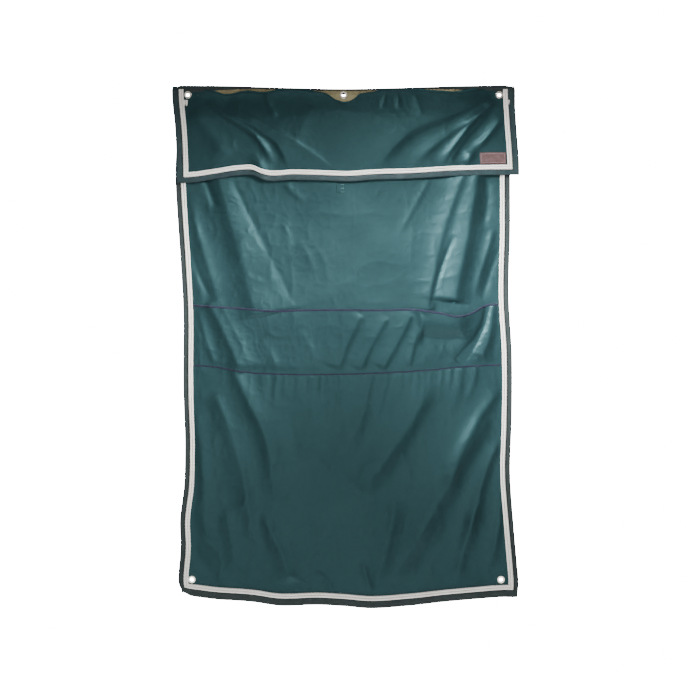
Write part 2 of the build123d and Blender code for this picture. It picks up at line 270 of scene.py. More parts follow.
def main_sideways(x, d):
    share = (x - MAIN_LEFT) / (MAIN_RIGHT - MAIN_LEFT)
    left = curve(metres(LEFT_PULL), d)
    right = curve(metres(RIGHT_PULL), d)
    hidden = fade(0.12, 0.30, d)
    corner = np.exp(-(((x - MAIN_LEFT) / 0.03) ** 2) - ((d - FOOT) / 0.03) ** 2)
    return hidden * (left * (1 - share) + right * share) + 0.012 * corner


def main_drop(x, d):
    upper = curve(metres(SEAM_BOW), x)
    lower = curve(metres(FOOT_BOW), x)
    to_seam = fade(0.35, SEAM_D, d)
    to_foot = fade(SEAM_D, FOOT - 0.05, d)
    corner = np.exp(-(((x - MAIN_LEFT) / 0.03) ** 2) - ((d - FOOT) / 0.03) ** 2)
    return upper * to_seam * (1 - to_foot) + lower * to_foot - 0.012 * corner


# %% The main panel's folds, in millimetres
MAIN_FOLDS = [
    # upper panel, left: a gully by the piping, then a band that widens as it falls
    ([(-486, 290), (-466, 350), (-440, 430)], (10, 12), (14, 14), -5),
    ([(-436, 290), (-374, 552), (-312, 810)], (30, 40), (60, 130), 11, (0.15, 0.1)),
    ([(-382, 320), (-276, 552), (-160, 790)], (12, 16), (12, 20), -2),
    ([(-532, 380), (-512, 520), (-478, 660), (-446, 790)], (14, 18), (20, 26), 4.5),
    ([(-548, 560), (-520, 660), (-478, 760)], (10, 12), (10, 12), -3),
    # upper panel, right: two bright ridges that lean left as they fall
    ([(318, 322), (262, 420), (208, 512)], (14, 14), (8, 10), 2.5),
    ([(442, 290), (358, 527), (306, 800)], (34, 48), (14, 14), 5, (0.15, 0.1)),
    ([(402, 520), (352, 650), (316, 780)], (8, 8), (8, 10), -3.5),
    ([(492, 270), (450, 527), (404, 770)], (56, 70), (20, 32), 15, (0.12, 0.1)),
    ([(512, 310), (520, 400), (500, 500)], (18, 16), (18, 16), -5),
    ([(546, 500), (512, 620), (476, 750)], (18, 20), (9, 12), 5),
    ([(566, 560), (534, 660), (500, 770)], (10, 12), (12, 14), -3.5),
    # upper panel, middle: the sewn centre line and a few soft dents
    ([(43, 300), (43, 560), (43, 770)], (3, 3), (3, 3), 0.9),
    ([(-195, 335), (-165, 372), (-120, 400)], (10, 14), (14, 18), 3),
    ([(-60, 320), (20, 420), (60, 520)], (40, 60), (40, 60), 2),
    ([(-150, 540), (-120, 590), (-100, 650)], (16, 20), (12, 14), 2),
    ([(-90, 560), (-60, 620), (-52, 680)], (14, 16), (12, 14), 1.5),
    ([(-210, 470), (-190, 520), (-195, 570)], (12, 14), (12, 14), 1.5),
    # from the pocket down at the left: a long crease, dark to its left
    ([(-486, 770), (-430, 880), (-368, 1004)], (22, 26), (34, 44), 5.5, (0.1, 0.1)),
    ([(-412, 970), (-362, 1072), (-282, 1240), (-256, 1440)], (24, 30), (30, 60), 10),
    ([(-470, 1090), (-430, 1180), (-360, 1400), (-306, 1650)], (30, 40), (16, 26), 6),
    ([(-292, 1480), (-222, 1630), (-196, 1725)], (22, 26), (26, 40), 6),
    ([(-556, 1120), (-520, 1330), (-486, 1600)], (20, 26), (24, 34), 5),
    ([(-420, 1480), (-400, 1600), (-390, 1700)], (20, 30), (24, 34), 3.5),
    # lower panel, right: a ridge that sweeps to the middle of the foot
    ([(560, 1085), (486, 1180), (405, 1330), (372, 1470)], (26, 34), (16, 24), 8.5),
    ([(520, 1180), (420, 1330), (300, 1520), (130, 1750)], (50, 90), (20, 28), 13.5),
    ([(330, 1020), (235, 1180), (120, 1330), (60, 1400)], (70, 90), (24, 34), 8.5),
    ([(190, 1430), (160, 1560), (100, 1730)], (30, 34), (18, 24), -5),
    ([(562, 1260), (500, 1400), (430, 1640)], (20, 30), (12, 18), 7.5),
    ([(470, 1480), (415, 1640), (380, 1740)], (20, 26), (12, 16), 5),
    ([(566, 1440), (548, 1560), (500, 1700)], (16, 20), (12, 16), 5),
    ([(80, 1100), (20, 1230), (-60, 1330)], (50, 60), (26, 34), 5),
    ([(-90, 1060), (-130, 1180), (-150, 1290)], (30, 40), (30, 40), 3),
    # short tucks just over the foot
    ([(-206, 1690), (-160, 1712), (-120, 1745)], (9, 9), (10, 10), 3),
    ([(-104, 1684), (-70, 1712), (-40, 1752)], (9, 9), (10, 10), 3),
    ([(60, 1640), (75, 1700), (90, 1750)], (12, 12), (10, 12), 3),
]


def seam_puckers():
    """Short tucks that hang from the pocket's bottom seam, drawn at random."""
    rng = np.random.default_rng(11)
    tucks = []
    for start in np.arange(-330, 500, 27):
        start = start + rng.uniform(-9, 9)
        length = rng.uniform(60, 210)
        lean = -0.28 * length * rng.uniform(0.2, 1.2) * (0.4 + (start + 330) / 830)
        path = [(start, 1003), (start + lean * 0.4, 1003 + length * 0.5),
                (start + lean, 1003 + length)]
        width = rng.uniform(5, 11)
        tucks.append((path, (width, width * 1.6), (width, width * 1.6),
                      rng.uniform(0.8, 3.0), (0.12, 0.6)))
    return tucks


MAIN_FOLDS += seam_puckers()
print("folds in the main panel:", len(MAIN_FOLDS))


# %% How far the main panel stands forward
def calm(x, d, centres, inner, outer):
    """1 away from the eyelets, 0 close to them, where the metal holds the cloth flat."""
    out = np.ones_like(x)
    for place in centres:
        gap = np.hypot(x - place.x, d - (HEAD_Z - place.z))
        out *= fade(inner, outer, gap)
    return out


SETTLE_FROM = 0.7
MAIN_MOST, FLAP_MOST, POCKET_MOST = 29 * MM, 33 * MM, 41 * MM
LAYER_GAP = 1.8 * MM
BELLY = [(0, 0), (320, 0), (600, 5), (850, 9), (1010, 9), (1300, 5), (1650, 0), (1800, 0)]


def settle(height, most):
    """Cloth standing out further than its slack allows settles below most."""
    start = SETTLE_FROM * most
    over = np.maximum(height - start, 0) / (most - start)
    return np.minimum(height, start) + (most - start) * np.tanh(over)


def main_forward(x, d):
    slack = folded(x, d, MAIN_FOLDS)
    slack += 1.1 * MM * crinkle(x, d, 0.085, 5) + 0.6 * MM * crinkle(x, d, 0.036, 9)
    slack += 3.0 * MM * smooth_noise(x, d, 0.35, 3)
    edge = np.minimum(x - MAIN_LEFT, MAIN_RIGHT - x)
    slack *= fade(0.004, 0.070, edge) * fade(0.05, 0.26, d) * fade(FOOT, FOOT - 0.10, d)
    curl = -6 * MM * fade(0.030, 0.0, MAIN_RIGHT - x) * fade(1.3, 1.7, d)
    wander = 2.0 * MM * smooth_noise(x, d, 0.12, 21) * fade(0.3, 0.5, d)
    belly = curve(metres(BELLY), d) * (0.35 + 0.65 * fade(0.0, 0.22, edge))
    out = (slack + wander + curl + belly) * calm(x, d, FOOT_EYELETS, 0.016, 0.060)
    return settle(out, MAIN_MOST)


def hang_main(x, d):
    across = x + main_sideways(x, d)
    down = HEAD_Z - d - main_drop(x, d)
    return np.stack([across, -main_forward(x, d), down], axis=-1)


def with_normals(hang, x, d):
    """Hanging places and forward-pointing normals, by small steps across and down."""
    x, d = np.asarray(x, float), np.asarray(d, float)
    step = 0.6 * MM
    across = hang(x + step, d) - hang(x - step, d)
    down = hang(x, d + step) - hang(x, d - step)
    normals = np.cross(down, across)
    normals /= np.linalg.norm(normals, axis=-1, keepdims=True)
    return hang(x, d), normals


places, normals = with_normals(hang_main, [0.0, 0.3], [0.5, 0.6])
print("normals point forwards:", bool((normals[:, 1] < 0).all()))

# %% [markdown]
# ## How the flap hangs
#
# The flap is one more rectangle of the same cloth.  Its upper edge is slack: it slumps
# below the head, most of all round the middle eyelet, and shows the khaki facing behind.
# Lower down it stands a little off the panel, because it rests on the panel's piping.

# %% The flap's droop, pull and folds
SLUMP = [(-600, 4), (-470, 14), (-415, 29), (-348, 19), (-272, 21), (-222, 8), (-180, 3),
         (-121, 9), (-70, 20), (-30, 46), (0, 57), (30, 50), (62, 26), (98, 17), (148, 5),
         (182, 3), (257, 9), (341, 18), (395, 21), (470, 12), (600, 4)]
FLAP_BOW = [(-600, 6), (-545, 4), (-457, -9), (-373, -21), (-335, -21), (-300, -6),
            (-188, -5), (-79, -2), (0, 1), (89, -5), (215, -9), (383, -19), (600, -22)]
HEAD_BOW = [(-600, 4), (-430, 3), (-230, -3), (0, -8), (200, -4), (400, 2), (600, 5)]
FLAP_FOLDS = [
    ([(-535, 80), (-480, 165), (-420, 262)], (24, 28), (30, 34), 7),
    ([(-486, 58), (-400, 118), (-312, 188), (-262, 268)], (8, 13), (16, 22), 10),
    ([(-424, 82), (-312, 152), (-248, 198), (-205, 285)], (8, 12), (50, 80), 11),
    ([(-350, 96), (-215, 172), (-50, 290)], (14, 22), (6, 10), 3.5),
    ([(534, 30), (355, 108), (222, 165), (100, 285)], (50, 110), (12, 20), 14.5),
    ([(500, 90), (380, 160), (235, 275)], (24, 40), (10, 16), 7),
    ([(538, 46), (443, 136), (326, 290)], (14, 24), (9, 13), 11),
    ([(520, 80), (420, 190), (352, 290)], (7, 9), (6, 8), 3.5),
    ([(556, 110), (469, 220), (410, 292)], (12, 24), (9, 13), 9.5),
    ([(156, 6), (148, 34), (132, 78)], (7, 9), (7, 9), 3.5),
    ([(184, 8), (192, 40), (190, 80)], (7, 9), (7, 9), 2.5),
    ([(-330, 236), (-306, 290), (-300, 340)], (26, 38), (26, 34), 7.5, (0.5, 0.02)),
    ([(-110, 70), (-150, 130), (-170, 200)], (18, 26), (18, 26), 2.5),
    ([(-60, 95), (-20, 84), (60, 96)], (10, 12), (12, 14), 2),
    ([(250, 22), (262, 60), (268, 110)], (12, 18), (12, 18), 2.5),
    ([(-272, 26), (-262, 60), (-240, 110)], (10, 14), (10, 14), 3.5),
]
PATCH_LOW, PATCH_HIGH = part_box("name_patch")
PATCH_X = (PATCH_LOW.x + PATCH_HIGH.x) / 2
PATCH_D = HEAD_Z - (PATCH_LOW.z + PATCH_HIGH.z) / 2


def head_bow(x, d):
    return curve(metres(HEAD_BOW), x) * fade(0.030, 0.004, d)


def flap_sideways(x, d):
    share = (x - FLAP_LEFT) / (FLAP_RIGHT - FLAP_LEFT)
    left = curve(metres([(0, 0), (40, 1), (120, 10), (320, 18), (340, 18)]), d)
    right = curve(metres([(0, -3), (40, -2), (126, 2), (320, 13), (340, 13)]), d)
    return left * (1 - share) + right * share


def flap_forward(x, d):
    base = HEADER_FRONT + 3.5 * MM * fade(0.52, 0.44, np.abs(x)) * fade(0.07, 0.0, d)
    base = base + 2.2 * MM * fade(0.560, 0.585, np.abs(x)) * fade(0.10, 0.0, d)
    base = base + 10.5 * MM * fade(0.030, 0.120, d)
    slack = folded(x, d, FLAP_FOLDS)
    slack += 0.9 * MM * crinkle(x, d, 0.075, 41) + 0.45 * MM * crinkle(x, d, 0.033, 45)
    slack += 2.4 * MM * smooth_noise(x, d, 0.16, 47)
    patch_gap = np.hypot(np.maximum(np.abs(x - PATCH_X) - 0.046, 0),
                         np.maximum(np.abs(d - PATCH_D) - 0.022, 0))
    slack *= 0.12 + 0.88 * fade(0.0, 0.045, patch_gap)
    edge = np.minimum(x - FLAP_LEFT, FLAP_RIGHT - x)
    slack *= fade(0.010, 0.070, edge) * fade(0.004, 0.06, d)
    slack *= calm(x, d, TOP_EYELETS, 0.016, 0.050)
    return settle(base + slack, FLAP_MOST)


def hang_flap(x, d):
    across = x + flap_sideways(x, d)
    drop = curve(metres(FLAP_BOW), x) * fade(0.06, FLAP_FOOT, d)
    down = HEAD_Z - d - drop + head_bow(x, d)
    return np.stack([across, -flap_forward(x, d), down], axis=-1)


def slump(x):
    return np.maximum(curve(metres(SLUMP), x), 0.003)


# %% [markdown]
# ## How the pocket hangs
#
# The pocket is a band of cloth sewn down along its bottom and both ends.  Its mouth
# gapes: the band leans forward at the top, most of all right of the middle.

# %% The pocket's bow, gape and folds
MOUTH_BOW = [(-560, -20), (-457, -14), (-373, -9), (-247, 0), (-154, -3), (-37, -4),
             (131, -3), (266, -4), (341, 6), (425, 18), (467, 6), (512, -18), (560, -24)]
MOUTH_GAPE = [(-560, 1), (-500, 3), (-400, 7), (-200, 9), (0, 9), (200, 10), (262, 12),
              (300, 28), (415, 29), (455, 14), (500, 4), (570, 1)]
POCKET_FOLDS = [
    ([(-486, 770), (-430, 880), (-372, 1000)], (20, 24), (28, 36), 5, (0.02, 0.1)),
    ([(-530, 800), (-500, 900), (-462, 1000)], (12, 14), (14, 16), 3.5, (0.05, 0.2)),
    ([(-440, 780), (-380, 890), (-330, 995)], (14, 18), (26, 34), 3, (0.05, 0.15)),
    ([(-300, 880), (-262, 940), (-240, 995)], (26, 30), (14, 18), 3),
    ([(-160, 850), (-120, 920), (-110, 990)], (22, 26), (14, 16), 2.5),
    ([(66, 800), (14, 890), (-26, 985)], (44, 56), (12, 14), 6, (0.2, 0.15)),
    ([(160, 810), (98, 900), (52, 990)], (26, 30), (10, 12), 5, (0.2, 0.15)),
    ([(246, 800), (196, 890), (132, 990)], (30, 40), (10, 12), 5.5, (0.15, 0.15)),
    ([(262, 778), (284, 830), (252, 900), (230, 985)], (14, 16), (7, 9), 4, (0.03, 0.15)),
    ([(524, 772), (505, 845), (440, 940), (405, 985)], (10, 14), (14, 16), -9, (0.05, 0.15)),
    ([(552, 790), (535, 870), (490, 975)], (20, 26), (10, 16), 5.5, (0.05, 0.15)),
    ([(276, 872), (345, 886), (428, 862)], (26, 26), (28, 28), -9, (0.2, 0.2)),
]


def pocket_forward(x, d):
    share = np.clip((d - MOUTH_D) / (SEAM_D - MOUTH_D), -0.1, 1)
    gape = curve(metres(MOUTH_GAPE), x)
    lean = fade(0.62, 0.0, share) * 0.8 + fade(1.0, 0.0, share) * 0.2
    slack = folded(x, d, POCKET_FOLDS)
    slack += 0.8 * MM * crinkle(x, d, 0.060, 71) + 0.4 * MM * crinkle(x, d, 0.028, 73)
    slack += 2.0 * MM * smooth_noise(x, d, 0.11, 77)
    edge = np.minimum(x - POCKET_LEFT, POCKET_RIGHT - x)
    hold = fade(0.0, 0.045, edge) * fade(SEAM_D, SEAM_D - 0.03, d)
    own = gape * lean + (slack + 1.5 * MM) * hold
    behind = main_forward(x, d) + LAYER_GAP
    return np.maximum(settle(behind + np.maximum(own, 0), POCKET_MOST), behind)


def hang_pocket(x, d):
    to_seam = fade(MOUTH_D, SEAM_D, d)
    drop = curve(metres(MOUTH_BOW), x) * (1 - to_seam) + main_drop(x, d) * to_seam
    across = x + main_sideways(x, d)
    return np.stack([across, -pocket_forward(x, d), HEAD_Z - d - drop], axis=-1)


# %% [markdown]
# ## Making meshes
#
# Every soft piece is built from rows of points.  A sheet has a front, a back and a
# narrow rim.  Its UV map holds pattern places in metres, so a material can draw
# threads along the real cloth however it is folded.

# %% Mesh helpers
def make_piece(name, points, faces, uv, material, body="curtain", smooth=True):
    """A mesh object with a pattern UV map, riding on a body (body=None: on none)."""
    mesh = bpy.data.meshes.new(name)
    mesh.from_pydata([tuple(p) for p in points], [], faces)
    layer = mesh.uv_layers.new(name="pattern")
    corner = np.zeros(len(mesh.loops), dtype=np.int32)
    mesh.loops.foreach_get("vertex_index", corner)
    layer.data.foreach_set("uv", np.asarray(uv, np.float32)[corner].ravel())
    mesh.polygons.foreach_set("use_smooth", [smooth] * len(mesh.polygons))
    mesh.update()
    piece = bpy.data.objects.new(name, mesh)
    bpy.context.collection.objects.link(piece)
    mesh.materials.append(material)
    if body:
        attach(piece, body)
    return piece


def grid_faces(columns, rows, start, flip):
    faces = []
    for j in range(rows - 1):
        for i in range(columns - 1):
            a = start + j * columns + i
            quad = (a, a + columns, a + columns + 1, a + 1)
            faces.append(quad[::-1] if flip else quad)
    return faces


def two_layers(columns, rows):
    """Front and back faces of a grid sheet, and separately the rim that joins them."""
    count = rows * columns
    faces = grid_faces(columns, rows, 0, False) + grid_faces(columns, rows, count, True)
    edge = list(range(columns))
    edge += [j * columns + columns - 1 for j in range(1, rows)]
    edge += [(rows - 1) * columns + i for i in range(columns - 2, -1, -1)]
    edge += [j * columns for j in range(rows - 2, 0, -1)]
    rim = [(a, b, b + count, a + count) for a, b in zip(edge, edge[1:] + edge[:1])]
    return faces, rim


def open_eyelets(points, eyelets, bore=7.2 * MM, reach=20 * MM):
    """Push cloth away from each eyelet's middle."""
    for eye in eyelets:
        off = points[:, [0, 2]] - np.array([eye.x, eye.z])
        gap = np.linalg.norm(off, axis=1)
        near = gap < reach
        out = bore + gap[near] * (reach - bore) / reach
        scale = out / np.maximum(gap[near], 1e-9)
        points[near, 0] = eye.x + off[near, 0] * scale
        points[near, 2] = eye.z + off[near, 1] * scale
    return points


def drop_bore_faces(points, faces, eyelets, bore=7.6 * MM):
    kept = []
    for face in faces:
        middle = points[list(face)].mean(axis=0)
        inside = any(math.hypot(middle[0] - e.x, middle[2] - e.z) < bore for e in eyelets)
        if not inside:
            kept.append(face)
    return kept


def cloth_sheet(name, hang, left, right, top, foot, spacing, material, thick=1.2 * MM,
                lift=0.0, eyelets=(), body="curtain"):
    """A double-walled sheet.  top and foot are numbers or functions of x, in metres."""
    columns = max(2, int(round((right - left) / spacing)) + 1)
    top_at = top if callable(top) else (lambda x: np.full_like(x, top))
    foot_at = foot if callable(foot) else (lambda x: np.full_like(x, foot))
    across = np.linspace(left, right, columns)
    tall = float((foot_at(across) - top_at(across)).max())
    rows = max(2, int(round(tall / spacing)) + 1)
    x = np.tile(across, (rows, 1))
    t = np.linspace(0, 1, rows)[:, None]
    d = top_at(x) * (1 - t) + foot_at(x) * t
    places, normals = with_normals(hang, x, d)
    places, normals = places.reshape(-1, 3), normals.reshape(-1, 3)
    front = open_eyelets(places + normals * lift, eyelets)
    back = open_eyelets(places + normals * (lift - thick), eyelets)
    points = np.concatenate([front, back])
    faces, rim = two_layers(columns, rows)
    faces = drop_bore_faces(points, faces, eyelets) + rim
    uv = np.stack([x.ravel(), -d.ravel()], axis=1)
    piece = make_piece(name, points, faces, np.concatenate([uv, uv]), material, body)
    print(name, columns, "x", rows, "points")
    return piece


# %% [markdown]
# ## Sewing a strip round an edge
#
# Tapes and cords follow the edge of their cloth.  A cross-section is carried down one
# side, along the foot and up the other side, and mitred at both corners.  Each point
# of the cross-section says how far in from the edge it lies, and how far it stands off
# the cloth.

# %% Strips and cords
def edge_run(left, right, top, foot, spacing):
    """Shares along the three sides, as (side, share) arrays, with each corner once."""
    lengths = [foot - top, right - left, foot - top]
    side, share = [], []
    for k, length in enumerate(lengths):
        count = max(2, int(round(length / spacing)))
        for i in range(count):
            side.append(k)
            share.append(i / count)
    return np.array(side + [2]), np.array(share + [1.0])


def edge_place(side, share, left, right, top, foot, in_x, in_d):
    """Pattern places on a three-sided run that lies in_x and in_d in from the edge."""
    a, b, low_d = left + in_x, right - in_x, foot - in_d
    x = np.where(side == 0, a, np.where(side == 1, a + (b - a) * share, b))
    down = top + (low_d - top) * share
    up = low_d + (top - low_d) * share
    d = np.where(side == 0, down, np.where(side == 1, low_d, up))
    return x, d


def sweep(name, hang, rings, material, body="curtain", eyelets=(), smooth=True):
    """Join rings of (x, d, height) into a closed tube along the cloth."""
    walls, uvs = [], []
    count = len(rings[0][0])
    run = None
    for x, d, height in rings:
        places, normals = with_normals(hang, x, d)
        walls.append(places + normals * np.asarray(height)[..., None])
        if run is None:
            steps = np.hypot(np.diff(x), np.diff(d))
            run = np.concatenate([[0], np.cumsum(steps)])
    around = np.zeros(len(rings))
    for k in range(1, len(rings)):
        middle = count // 2
        around[k] = around[k - 1] + np.linalg.norm(walls[k][middle] - walls[k - 1][middle])
    for k in range(len(rings)):
        uvs.append(np.stack([run, np.full(count, around[k])], axis=1))
    points = np.concatenate(walls)
    sides = len(rings)
    faces = []
    for k in range(sides):
        m = (k + 1) % sides
        for i in range(count - 1):
            faces.append((k * count + i, k * count + i + 1, m * count + i + 1, m * count + i))
    faces.append(tuple(k * count for k in range(sides)))
    faces.append(tuple(k * count + count - 1 for k in reversed(range(sides))))
    return make_piece(name, points, faces, np.concatenate(uvs), material, body, smooth)


def folded_tape(width_x, width_d, front, back, nose):
    """Cross-section of tape folded over an edge: (in_x, in_d, height) for each corner."""
    shape = [(1.0, front * 0.35), (0.97, front * 0.9), (0.8, front), (0.3, front * 1.05),
             (0.06, front * 0.9)]
    section = [(s * width_x, s * width_d, h) for s, h in shape]
    middle = (front - back) / 2
    section += [(-nose * 0.7, -nose * 0.7, front * 0.45), (-nose, -nose, middle),
                (-nose * 0.7, -nose * 0.7, -back * 0.75)]
    section += [(s * width_x, s * width_d, -h) for s, h in
                [(0.06, back * 0.97), (0.3, back * 1.02), (0.8, back), (0.97, back)]]
    section.append((width_x, width_d, -back * 0.80))
    return section


def bind_edge(name, hang, edges, section, spacing, material, body="curtain"):
    left, right, top, foot = edges
    side, share = edge_run(left, right, top, foot, spacing)
    rings = []
    for in_x, in_d, height in section:
        x, d = edge_place(side, share, left, right, top, foot, in_x, in_d)
        rings.append((x, d, np.full_like(x, height)))
    return sweep(name, hang, rings, material, body)


def pipe_edge(name, hang, edges, in_x, in_d, radius, material, body="curtain", sides=10,
              lay=11 * MM, spacing=3 * MM):
    """A laid cord along the edge: its strands show as a slow twist in its outline."""
    left, right, top, foot = edges
    side, share = edge_run(left, right, top, foot, spacing)
    x0, d0 = edge_place(side, share, left, right, top, foot, in_x, in_d)
    run = np.concatenate([[0], np.cumsum(np.hypot(np.diff(x0), np.diff(d0)))])
    rings = []
    for k in range(sides):
        angle = -2 * math.pi * k / sides
        swell = radius * (1 + 0.10 * np.cos(3 * angle - 2 * math.pi * run / lay))
        out = swell * math.cos(angle)
        x, d = edge_place(side, share, left, right, top, foot, in_x + out, in_d + out)
        rings.append((x, d, radius * 0.86 + swell * math.sin(angle)))
    return sweep(name, hang, rings, material, body)


def stitch_line(name, hang, x, d, lift, material, body="curtain", length=3.2 * MM,
                gap=1.3 * MM, radius=0.42 * MM):
    """Straight stitches along a pattern line, as one mesh of small rounded rods."""
    run = np.concatenate([[0], np.cumsum(np.hypot(np.diff(x), np.diff(d)))])
    starts = np.arange(gap, run[-1] - length, length + gap)
    stations = np.array([0.0, 0.18, 0.5, 0.82, 1.0])
    swell = np.array([0.35, 0.9, 1.0, 0.9, 0.35])
    height = np.array([-0.5, 0.5, 0.9, 0.5, -0.5]) * radius
    at = (starts[:, None] + stations * length)
    px, pd = np.interp(at, run, x), np.interp(at, run, d)
    places, normals = with_normals(hang, px, pd)
    along = np.gradient(places, axis=1)
    along /= np.linalg.norm(along, axis=-1, keepdims=True)
    across = np.cross(normals, along)
    sides = 6
    rings = []
    for k in range(sides):
        angle = 2 * math.pi * k / sides
        out = radius * swell * math.cos(angle)
        rise = radius * swell * math.sin(angle) + height + lift
        rings.append(places + across * out[None, :, None] + normals * rise[None, :, None])
    points = np.stack(rings, axis=2).reshape(-1, 3)
    uv = np.stack([np.repeat(at.ravel(), sides), np.zeros(at.size * sides)], axis=1)
    faces = []
    for s in range(len(starts)):
        base = s * len(stations) * sides
        for j in range(len(stations) - 1):
            for k in range(sides):
                m = (k + 1) % sides
                a = base + j * sides
                faces.append((a + k, a + m, a + sides + m, a + sides + k))
        faces.append(tuple(base + k for k in reversed(range(sides))))
        last = base + (len(stations) - 1) * sides
        faces.append(tuple(last + k for k in range(sides)))
    return make_piece(name, points, faces, uv, material, body)


# %% [markdown]
# ## Colour and nodes
#
# Colours are chosen as sRGB hex, the way a dye card names them, and turned to linear
# light once, here.  One small function adds any node with its settings and links.

# %% Colour and node helpers
def linear(code):
    """An sRGB hex colour as linear RGBA."""
    parts = [int(code[i:i + 2], 16) / 255 for i in (1, 3, 5)]
    lin = [p / 12.92 if p <= 0.04045 else ((p + 0.055) / 1.055) ** 2.4 for p in parts]
    return (*lin, 1.0)


def add(tree, kind, inputs=None, **settings):
    """Add a node; an input may be a value, or another node's output to link from."""
    node = tree.nodes.new(kind)
    for name, value in settings.items():
        setattr(node, name, value)
    for socket, value in (inputs or {}).items():
        if isinstance(value, bpy.types.NodeSocket):
            tree.links.new(value, node.inputs[socket])
        else:
            node.inputs[socket].default_value = value
    return node


def new_material(name):
    material = bpy.data.materials.new(name)
    material.use_nodes = True
    material.node_tree.nodes.clear()
    return material, material.node_tree


def dye(ramp, dark_at, dark, light_at, light):
    """Set a ramp's two ends: a place from 0 to 1 and a hex colour for each."""
    ends = ramp.color_ramp.elements
    ends[0].position, ends[0].color = dark_at, linear(dark)
    ends[1].position, ends[1].color = light_at, linear(light)

# %% [markdown]
# ## Green shell cloth: woven nylon, piece-dyed and calendered
#
# Rug makers use a tight plain-weave nylon that is pressed between hot rollers, which
# leaves the threads flat and gives the cloth a satin face.  So its highlight is broad,
# a little green from the dyed threads, and stronger where the cloth tips up to the lamp.
# The real threads are about 0.3 mm apart, too fine to show, so they are drawn at 1.2 mm.
# The dye is deep, so almost all that the eye gets back is that tinted gloss.

# %% Shell cloth material
THREAD = 1.2 * MM


def woven(tree, vector, spacing):
    """Height of a plain weave from two crossed waves, 0 to 1."""
    parts = add(tree, "ShaderNodeSeparateXYZ", {0: vector}).outputs
    waves = []
    for axis in (0, 1):
        turn = add(tree, "ShaderNodeMath", {0: parts[axis], 1: math.pi / spacing},
                   operation="MULTIPLY").outputs[0]
        waves.append(add(tree, "ShaderNodeMath", {0: turn}, operation="SINE").outputs[0])
    cross = add(tree, "ShaderNodeMath", {0: waves[0], 1: waves[1]},
                operation="MULTIPLY").outputs[0]
    return add(tree, "ShaderNodeMath", {0: cross, 1: 0.5, 2: 0.5},
               operation="MULTIPLY_ADD").outputs[0]


def cloth_material(name, deep, plain, worn, thread, roughness, tint, crease=0.5,
                   specular=0.5, sheen=0.0, weave_strength=0.15):
    """Dyed plain-weave cloth: slow shade change, creases, and the weave itself."""
    material, tree = new_material(name)
    uv = add(tree, "ShaderNodeUVMap", uv_map="pattern").outputs["UV"]
    slow = add(tree, "ShaderNodeTexNoise", {"Vector": uv, "Scale": 5.0, "Detail": 3.0,
                                            "Roughness": 0.55}).outputs["Fac"]
    quick = add(tree, "ShaderNodeTexNoise", {"Vector": uv, "Scale": 60.0, "Detail": 4.0,
                                             "Roughness": 0.6}).outputs["Fac"]
    mixed = add(tree, "ShaderNodeMath", {0: quick, 1: 0.35, 2: slow},
                operation="MULTIPLY_ADD").outputs[0]
    ramp = add(tree, "ShaderNodeValToRGB", {"Fac": mixed})
    dye(ramp, 0.42, deep, 0.92, worn)
    ramp.color_ramp.elements.new(0.66).color = linear(plain)
    creases = add(tree, "ShaderNodeTexNoise", {"Vector": uv, "Scale": 26.0, "Detail": 5.0,
                                               "Roughness": 0.62, "Distortion": 0.6},
                  noise_type="RIDGED_MULTIFRACTAL").outputs["Fac"]
    folds = add(tree, "ShaderNodeBump", {"Height": creases, "Strength": crease,
                                         "Distance": 1.6 * MM})
    weave = add(tree, "ShaderNodeBump", {"Height": woven(tree, uv, thread),
                                         "Strength": weave_strength,
                                         "Distance": 0.2 * MM,
                                         "Normal": folds.outputs[0]})
    dull = add(tree, "ShaderNodeMapRange", {"Value": mixed, "From Min": 0.4,
                                            "From Max": 0.95, "To Min": roughness,
                                            "To Max": roughness + 0.12}).outputs[0]
    shader = add(tree, "ShaderNodeBsdfPrincipled", {
        "Base Color": ramp.outputs["Color"], "Roughness": dull, "IOR": 1.5,
        "Specular IOR Level": specular, "Specular Tint": linear(tint),
        "Sheen Weight": sheen, "Sheen Roughness": 0.5, "Sheen Tint": linear(tint),
        "Normal": weave.outputs[0]})
    add(tree, "ShaderNodeOutputMaterial", {"Surface": shader.outputs[0]})
    return material


shell_cloth = cloth_material("green_nylon_shell", "#101f22", "#132427", "#17292c", THREAD,
                             0.38, "#a4ebf2", crease=0.55, specular=0.5, sheen=0.05)
print("shell cloth:", len(shell_cloth.node_tree.nodes), "nodes")

# %% [markdown]
# ## The other cloths and tapes
#
# The lining is woven nylon left unpressed, so it is duller.  The khaki facing is woven
# cotton drill, with a soft matt face.  Webbing and binding tape are woven with ribs
# across, drawn at 2.4 mm where the real ribs are nearer 1 mm.  The navy tape's are 2 mm.

# %% Lining, drill and tapes
lining_cloth = cloth_material("green_nylon_lining", "#1f3d40", "#24464a", "#2a4e52", THREAD,
                              0.58, "#9fc8cc", crease=0.5, specular=0.4)
khaki_drill = cloth_material("khaki_cotton_drill", "#524b38", "#7f775a", "#aaa17c", 1.6 * MM,
                             0.82, "#e8e0c4", crease=0.9, specular=0.2, sheen=0.25,
                             weave_strength=0.3)


